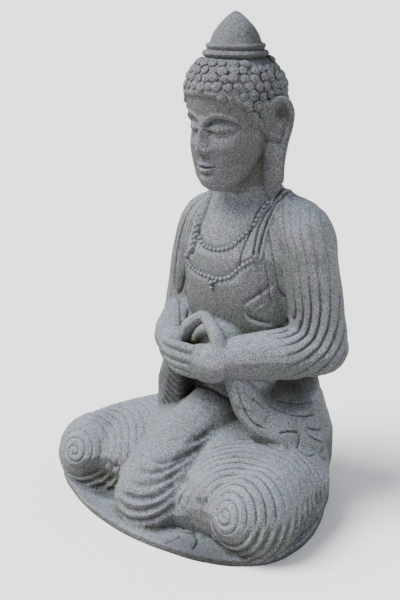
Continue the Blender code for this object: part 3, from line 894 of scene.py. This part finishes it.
# Painted shade: ellipsoids of (centre, radii, strength) in shares of the height, where the stone is
# painted darker as if in shadow.
PAINTED_SHADE_SPOTS = [
    ((0.145, -0.01, 0.25), (0.08, 0.13, 0.036), 1.0),
    ((-0.085, -0.15, 0.23), (0.052, 0.05, 0.075), 0.74),
    ((0.0, -0.11, 0.23), (0.07, 0.06, 0.035), 0.15),
    ((0.19, -0.34, 0.0), (0.11, 0.085, 0.062), 0.74),
    ((0.0, -0.06, 0.66), (0.11, 0.08, 0.035), 0.34),
    ((0.07, -0.01, 0.78), (0.075, 0.09, 0.12), 0.3),
    ((0.055, -0.03, 0.945), (0.045, 0.06, 0.09), 0.8),
    ((0.0, -0.05, 0.95), (0.11, 0.11, 0.1), 0.4),
    ((0.0, -0.05, 0.83), (0.15, 0.15, 0.24), 0.28),
    ((0.104, -0.033, 0.806), (0.02, 0.015, 0.02), 0.85),
]


def painted_shade(p):
    """How much darker each place is painted: painted shade under the near elbow, beside the far
    sleeve and the waist, under the near knee, under the chin, and over the head, the cone and the
    ear's bowl.
    """
    total = np.zeros(len(p))
    for centre, radii, strength in PAINTED_SHADE_SPOTS:
        away = (p - np.array(centre)) / np.array(radii)
        inside = np.clip(1.0 - (away**2).sum(axis=1), 0.0, 1.0)
        total = np.maximum(total, strength * inside**0.6)
    return total


def search_tree(mesh):
    """A tree for finding the nearest place on a mesh, and what a ray hits."""
    corners = [v.co for v in mesh.vertices]
    return BVHTree.FromPolygons(corners, [tuple(f.vertices) for f in mesh.polygons])


def shelter(skin):
    """How much of the open air each place is cut off from, for the painted shade and the growth in
    sheltered hollows.
    """
    coarse = thinned(skin.copy(), 14000)
    tree = search_tree(coarse)
    rng = random.Random(2)
    rays = []
    while len(rays) < 40:
        ray = Vector((rng.uniform(-1, 1), rng.uniform(-1, 1), rng.uniform(-1, 1)))
        if 0.1 < ray.length < 1.0:
            rays.append(ray.normalized())
    finder = KDTree(len(coarse.vertices))
    shut = []
    for vertex in coarse.vertices:
        normal = vertex.normal
        start = vertex.co + normal * 0.004
        tried = blocked = 0.0
        for ray in rays:
            toward = ray if ray.dot(normal) > 0 else -ray
            weight = toward.dot(normal) * (1.0 if toward.z > -0.2 else 0.3)
            tried += weight
            if tree.ray_cast(start, toward, 0.35)[0] is not None:
                blocked += weight
        finder.insert(vertex.co, vertex.index)
        shut.append(blocked / max(tried, 1e-6))
    finder.balance()
    values = []
    for vertex in skin.vertices:
        near = finder.find_n(vertex.co, 4)
        total = sum(1.0 / (d + 0.002) for _, _, d in near)
        values.append(sum(shut[k] / (d + 0.002) for _, k, d in near) / total)
    # The scooped hollows count as sheltered too, so the painted shade under the near elbow is deep.
    scooped = -hollows(shares(array_of(skin, "co"))) / HOLLOWS[0][2]
    give(skin, "shelter", np.maximum(values, 0.78 * np.clip(scooped, 0.0, 1.0) ** 0.7))
    give(skin, "upward", [v.normal.z for v in skin.vertices])
    # Painted shade in the listed places.
    give(skin, "painted_shade", painted_shade(shares(array_of(skin, "co"))))


def flat_cut(skin):
    """Cuts off what is below the floor and closes the underside."""
    bm = bmesh.new()
    bm.from_mesh(skin)
    whole = bm.verts[:] + bm.edges[:] + bm.faces[:]
    floor = {"plane_co": (0, 0, 0), "plane_no": (0, 0, 1)}
    bmesh.ops.bisect_plane(bm, geom=whole, clear_inner=True, **floor)
    rim = [e for e in bm.edges if e.is_boundary]
    bmesh.ops.holes_fill(bm, edges=rim)
    bmesh.ops.triangulate(bm, faces=[f for f in bm.faces if len(f.verts) > 4])
    bm.to_mesh(skin)
    bm.free()


def thinned(skin, triangles):
    """A copy of the skin with about this many triangles."""
    rough = linked("rough", skin)
    rough.modifiers.new("Triangulate", "TRIANGULATE")
    faces = sum(len(face.vertices) - 2 for face in skin.polygons)
    decimate = rough.modifiers.new("Decimate", "DECIMATE")
    decimate.ratio = min(1.0, triangles / faces)
    return modified(rough)


def snail():
    """One curl of hair, one unit in radius: a low dome with a spiral groove, standing on z = 0."""
    rings = 6
    sides = 14
    places = [(0.0, 0.0, 0.82)]
    depths = [0.2]
    for i in range(1, rings + 1):
        r = i / rings
        for k in range(sides):
            angle = 2 * math.pi * k / sides
            spiral = r * 1.7 - k / sides
            groove = math.exp(-(((spiral - round(spiral)) / 0.20) ** 2)) * (1 - r**4)
            sunk = 0.25 if i == rings else 0.0
            z = 0.92 * math.sqrt(max(0.0, 1 - r**2.6)) - 0.24 * groove - sunk
            places.append((r * math.cos(angle), r * math.sin(angle), z))
            # Darker in the spiral groove, as dirt and painted shade, and round the rim where the
            # curl meets the skull, as painted shade.
            depths.append(max(groove, ease(0.75, 1.0, r)))
    faces = [(0, 1 + k, 1 + (k + 1) % sides) for k in range(sides)]
    for i in range(rings - 1):
        for k in range(sides):
            a = 1 + i * sides
            b = 1 + (k + 1) % sides + i * sides
            faces.append((a + k, a + k + sides, b + sides, b))
    last = 1 + (rings - 1) * sides
    faces.append(tuple(range(last + sides - 1, last - 1, -1)))
    return places, faces, depths


def stand_on(point, normal, size, roll):
    """A matrix that stands a unit form on a surface."""
    turn = normal.to_track_quat("Z", "Y").to_matrix().to_4x4()
    return Matrix.Translation(point) @ turn @ Matrix.Rotation(roll, 4, "Z") @ Matrix.Scale(size, 4)


def hair_curls(tree):
    """Rows of snail curls over the cap of hair, worn down towards the front."""
    rng = random.Random(8)
    form, form_faces, form_depths = snail()
    form = np.array([(*q, 1.0) for q in form])
    places = []
    faces = []
    depths = []
    profile = [s for s in SKULL if s[0] >= 0.705]
    heights = [s[0] for s in profile]
    arc = [0.0]
    for a, b in zip(profile, profile[1:]):
        arc.append(arc[-1] + math.hypot(b[0] - a[0], (b[2] + b[3] - a[2] - a[3]) / 2))
    rows = int(arc[-1] / (CURL * ROW_STEP))
    for row in range(rows + 1):
        z = float(np.interp(row * CURL * ROW_STEP, arc, heights))
        middle, wide, deep = (
            float(np.interp(z, heights, [q[k] for q in profile])) for k in (1, 2, 3)
        )
        around = math.pi * (3 * (wide + deep) - math.sqrt((3 * wide + deep) * (wide + 3 * deep)))
        count = max(6, round(around / (CURL * CURL_STEP)))
        for k in range(count):
            angle = 2 * math.pi * (k + 0.5 * (row % 2) + rng.uniform(-0.15, 0.15)) / count
            x = wide * math.sin(angle)
            y = middle - deep * math.cos(angle)
            higher = z + rng.uniform(-0.0022, 0.0022)
            turn = math.degrees(math.atan2(x, -(y - HEAD_AXIS_Y)))
            lift = higher - float(hairline(turn))
            under_ring = math.hypot(x, y - HEAD_AXIS_Y) <= CROWN_RING
            behind_ear = abs(x) > 0.070 and -0.064 < y < 0.004 and z < 0.838
            if lift < 0.006 or behind_ear or under_ring:
                continue
            start = Vector((x, y, higher)) * FIGURE_HEIGHT + Vector((0, 0, SLAB_THICKNESS))
            hit, normal, _, _ = tree.find_nearest(start)
            if y > -0.02:
                inward = Vector((-x, HEAD_AXIS_Y - y, 0)).normalized()
                seen = tree.ray_cast(start - inward * 0.08, inward, 0.16)
                if seen[0] is not None:
                    hit, normal = seen[:2]
            worn = float(ease(-0.045, -0.085, y + 0.35 * x))
            size = CURL * FIGURE_HEIGHT * (0.60 - 0.05 * worn) * rng.uniform(0.86, 1.14)
            place = stand_on(hit - normal * 0.0004, normal, size, rng.uniform(0, 6.28))
            narrow = rng.uniform(0.88, 1.0)
            low = (0.92 - 0.22 * worn) * rng.uniform(0.85, 1.0)
            squash = Matrix.Diagonal((1, narrow, low, 1))
            start_at = len(places) * len(form)
            places.append((form @ np.array((place @ squash)).T)[:, :3])
            faces += [tuple(start_at + v for v in face) for face in form_faces]
            depths += form_depths
    mesh = bpy.data.meshes.new("hair_curls")
    mesh.from_pydata(np.concatenate(places).tolist(), [], faces)
    # The curl's groove and rim are painted darker: dirt and painted shade.
    give(mesh, "hollow", np.array(depths) * 1.5 - 0.6)
    give(mesh, "upward", array_of(mesh, "normal")[:, 2])
    # Painted shade in the listed places, on the curls too.
    give(mesh, "painted_shade", painted_shade(shares(array_of(mesh, "co"))))
    return mesh


def beads(tree):
    """Two strings of beads, a small pendant and the knotted ends of the scarf."""
    bm = bmesh.new()
    rng = random.Random(4)

    def put(share, size, sink=0.35):
        start = Vector(share) * FIGURE_HEIGHT + Vector((0, 0, SLAB_THICKNESS))
        hit, normal, _, _ = tree.find_nearest(start)
        place = stand_on(hit + normal * size * (1 - 2 * sink), normal, size, rng.uniform(0, 6.28))
        bmesh.ops.create_icosphere(bm, subdivisions=2, radius=1.0, matrix=place)

    for string in (UPPER_BEADS, LOWER_BEADS):
        line = curve_through(string, 12)
        spacing = BEAD * BEAD_STEP
        travelled = 0.0
        for a, b in zip(line, line[1:]):
            step = float(np.linalg.norm(b - a))
            while travelled <= step:
                put(tuple(a + (b - a) * travelled / step), BEAD * rng.uniform(0.92, 1.1))
                travelled += spacing
            travelled -= step
    for share, size in (
        ((-0.007, -0.110, 0.459), 0.0060),
        ((-0.016, -0.110, 0.464), 0.0042),
        ((0.002, -0.110, 0.463), 0.0042),
        ((-0.006, -0.111, 0.449), 0.0048),
        ((-0.084, -0.090, 0.510), 0.0075),
        ((-0.092, -0.088, 0.497), 0.0068),
        ((-0.090, -0.088, 0.485), 0.0055),
    ):
        put(share, size)
    mesh = mesh_from(bm, "beads")
    give(mesh, "upward", array_of(mesh, "normal")[:, 2])
    return mesh


def fitted(meshes):
    """Sets the carving, with what is on it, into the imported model's box."""
    places = array_of(meshes[0], "co")
    low, high = places.min(axis=0), places.max(axis=0)
    goal_low, goal_high = np.array(cad_box[0]), np.array(cad_box[1])
    scale = (goal_high - goal_low - BOX_CLEARANCE) / (high - low)
    move = Matrix.Translation(Vector((goal_low + goal_high) / 2))
    size = Matrix.Diagonal((*scale, 1.0))
    back = Matrix.Translation(-Vector((low + high) / 2))
    for mesh in meshes:
        mesh.transform(move @ size @ back)


def node(tree, kind, **values):
    """A shader node with its inputs or settings, set out in rows of eight."""
    made = tree.nodes.new(kind)
    count = len(tree.nodes)
    made.location = (-220 * (count % 8 + 2), -320 * (count // 8))
    for key, value in values.items():
        if key in made.inputs:
            made.inputs[key].default_value = value
        else:
            setattr(made, key, value)
    return made


def ramp(tree, stops, link):
    """A colour ramp over a value, with stops of a place and a colour or a grey."""
    made = node(tree, "ShaderNodeValToRGB")
    elements = made.color_ramp.elements
    stops = [(place, (*(c if isinstance(c, tuple) else (c, c, c)), 1)) for place, c in stops]
    elements[0].position, elements[0].color = stops[0]
    elements[1].position, elements[1].color = stops[-1]
    for place, colour in stops[1:-1]:
        elements.new(place).color = colour
    tree.links.new(link, made.inputs["Fac"])
    return made.outputs["Color"]


def times(tree, factor, a, b):
    """One colour multiplied by another, each a socket or a colour."""
    made = node(tree, "ShaderNodeMix", data_type="RGBA", blend_type="MULTIPLY", clamp_result=True)
    for socket, value in ((made.inputs[0], factor), (made.inputs[6], a), (made.inputs[7], b)):
        if isinstance(value, bpy.types.NodeSocket):
            tree.links.new(value, socket)
        elif isinstance(value, tuple):
            socket.default_value = (*value, 1)
        else:
            socket.default_value = value
    return made.outputs[2]


def stone():
    """Grey volcanic stone: patchy tone, dark and light grains, growth in the hollows, and painted
    light and shade: painted sky light on upward faces, dirt and painted shade in grooves, painted
    shade in sheltered places, on undersides and in listed places.
    """
    material = bpy.data.materials.new("weathered_stone_and_painted_light")
    material.use_nodes = True
    tree = material.node_tree
    shader = tree.nodes["Principled BSDF"]
    shader.inputs["Roughness"].default_value = 0.88
    shader.inputs["Specular IOR Level"].default_value = 0.25
    spot = node(tree, "ShaderNodeTexCoord").outputs["Object"]

    def noise(scale, detail, rough):
        made = node(tree, "ShaderNodeTexNoise", Scale=scale, Detail=detail, Roughness=rough)
        tree.links.new(spot, made.inputs["Vector"])
        return made.outputs["Fac"]

    patches = noise(7.0, 4.0, 0.6)
    greys = [
        (0.30, (0.110, 0.113, 0.121)),
        (0.50, (0.131, 0.135, 0.147)),
        (0.70, (0.153, 0.158, 0.176)),
    ]
    base = ramp(tree, greys, patches)
    violet = noise(24.0, 3.0, 0.6)
    tints = [(0.40, (0.94, 1.01, 0.95)), (0.52, 1.0), (0.66, (1.03, 0.98, 1.07))]
    base = times(tree, 1.0, base, ramp(tree, tints, violet))
    grain = noise(430.0, 2.0, 0.75)
    grains = [(0.33, (0.24, 0.24, 0.26)), (0.45, 0.84), (0.53, 1.04), (0.66, (1.90, 1.90, 1.85))]
    base = times(tree, 1.0, base, ramp(tree, grains, grain))
    coarse = noise(120.0, 3.0, 0.65)
    flecks = [(0.33, (0.70, 0.70, 0.72)), (0.46, 1.0), (0.56, 1.0), (0.70, (1.20, 1.20, 1.18))]
    base = times(tree, 0.9, base, ramp(tree, flecks, coarse))

    def level(name, low, high):
        """From black where the carving's own value is low to white where it is high."""
        value = node(tree, "ShaderNodeAttribute", attribute_name=name).outputs["Fac"]
        return ramp(tree, [(low, 0.0), (high, 1.0)], value)

    # Painted sky light: upward faces painted lighter and bluer.
    painted_sky_light = level("upward", 0.25, 0.95)
    base = times(tree, painted_sky_light, base, (1.20, 1.28, 1.42))
    # Grooves and hollows painted darker: dirt that gathers there, and painted shade.
    groove_dirt_and_shade = level("hollow", 0.12, 1.0)
    base = times(tree, groove_dirt_and_shade, base, (0.47, 0.47, 0.45))
    # Sheltered places: growth in the hollows, and painted shade where the open air is cut off.
    shut = level("shelter", 0.45, 0.85)
    growth = noise(16.0, 3.0, 0.6)
    growths = ramp(tree, [(0.36, 0.0), (0.58, 1.0)], growth)
    green = times(tree, 1.0, shut, growths)
    # Painted shade: sheltered places painted darker.
    base = times(tree, shut, base, (0.66, 0.65, 0.58))
    # Painted shade: faces that look down are painted darker.
    faces_up = node(tree, "ShaderNodeAttribute", attribute_name="upward").outputs["Fac"]
    under = ramp(tree, [(-0.75, 1.0), (0.15, 0.0)], faces_up)
    base = times(tree, under, base, (0.62, 0.61, 0.58))
    # Painted shade in the listed places: under the near elbow and knee, under the chin and over the
    # head.
    painted_shade_mask = level("painted_shade", 0.0, 1.0)
    base = times(tree, painted_shade_mask, base, (0.20, 0.195, 0.17))
    base = times(tree, green, base, (1.00, 0.97, 0.62))
    height = node(tree, "ShaderNodeSeparateXYZ")
    tree.links.new(spot, height.inputs[0])
    warm = [(0.60, 1.0), (0.72, (1.0, 0.965, 0.97))]
    base = times(tree, 1.0, base, ramp(tree, warm, height.outputs["Z"]))
    tree.links.new(base, shader.inputs["Base Color"])
    bump = node(tree, "ShaderNodeBump", Strength=0.55, Distance=0.0012)
    tree.links.new(grain, bump.inputs["Height"])
    pits = node(tree, "ShaderNodeBump", Strength=0.5, Distance=0.0025)
    tree.links.new(coarse, pits.inputs["Height"])
    tree.links.new(pits.outputs["Normal"], bump.inputs["Normal"])
    tree.links.new(bump.outputs["Normal"], shader.inputs["Normal"])
    return material


def piece(name, mesh, material):
    """A visible piece on the one body, with the stone material."""
    mesh.name = name
    mesh.materials.clear()
    mesh.materials.append(material)
    mesh.polygons.foreach_set("use_smooth", [True] * len(mesh.polygons))
    made = bpy.data.objects.new(name, mesh)
    bpy.context.scene.collection.objects.link(made)
    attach(made, "root")
    return made


SUN_STRENGTH = 7.4
SUN_ANGLE = 38
SUN_SIDE = (-0.36, -0.45, 0.82)


def studio():
    """A wide pale floor and soft light from above."""
    bpy.ops.mesh.primitive_plane_add(size=80.0, location=(0, 0, 0))
    floor = bpy.context.object
    floor.name = "floor"
    pale = bpy.data.materials.new("pale_floor")
    pale.use_nodes = True
    shader = pale.node_tree.nodes["Principled BSDF"]
    shader.inputs["Base Color"].default_value = (0.92, 0.92, 0.92, 1)
    shader.inputs["Roughness"].default_value = 0.9
    floor.data.materials.append(pale)
    world = bpy.data.worlds.new("studio")
    world.use_nodes = True
    tree = world.node_tree
    sky = tree.nodes["Background"]
    way = tree.nodes.new("ShaderNodeTexCoord").outputs["Generated"]
    height = tree.nodes.new("ShaderNodeSeparateXYZ")
    tree.links.new(way, height.inputs[0])
    stops = [(0.0, 2.4), (0.05, 2.4), (0.25, (0.68, 0.71, 0.77))]
    tree.links.new(ramp(tree, stops, height.outputs["Z"]), sky.inputs["Color"])
    sky.inputs["Strength"].default_value = 1.0
    bpy.context.scene.world = world
    light = bpy.data.lights.new("soft_overhead", "SUN")
    light.energy = SUN_STRENGTH
    light.angle = math.radians(SUN_ANGLE)
    light.color = (1.0, 0.985, 0.96)
    lamp = bpy.data.objects.new("soft_overhead", light)
    lamp.rotation_euler = Vector(SUN_SIDE).to_track_quat("Z", "Y").to_euler()
    bpy.context.scene.collection.objects.link(lamp)


AZIMUTH = 42.0
PITCH = 17.0
CAMERA_DISTANCE = 2.209
CAMERA_HEIGHT = 1.082
CAMERA_SIDE = 0.1023
FOCAL_PIXELS = 1093.0
IMAGE_HEIGHT = 600
SENSOR = 36.0


def camera(axis):
    """The camera, placed from the torso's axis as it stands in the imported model."""
    turn = math.radians(AZIMUTH)
    out = Vector((math.sin(turn), -math.cos(turn), 0))
    side = Vector((math.cos(turn), math.sin(turn), 0))
    data = bpy.data.cameras.new("camera")
    data.sensor_width = SENSOR
    data.lens = FOCAL_PIXELS / IMAGE_HEIGHT * SENSOR
    made = bpy.data.objects.new("camera", data)
    up = Vector((0, 0, CAMERA_HEIGHT))
    made.location = axis + out * CAMERA_DISTANCE - side * CAMERA_SIDE + up
    pitch = math.radians(PITCH)
    look = -out * math.cos(pitch) - Vector((0, 0, math.sin(pitch)))
    made.rotation_euler = look.to_track_quat("-Z", "Y").to_euler()
    bpy.context.scene.collection.objects.link(made)
    bpy.context.scene.camera = made


skin = sculpt()
flat_cut(skin)
skin = thinned(skin, TRIANGLES)
shelter(skin)
tree = search_tree(skin)
curls = hair_curls(tree)
strings = beads(tree)
before = array_of(skin, "co")
fitted([skin, curls, strings])
after = array_of(skin, "co")
axis = Vector((*(after - before).mean(axis=0)[:2], 0.0))
weathered = stone()
figure = piece("carved_figure", skin, weathered)
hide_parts("carved_seated_figure")
piece("hair_curls_relief", curls, weathered)
piece("beads_and_knots_relief", strings, weathered)
studio()
camera(axis)
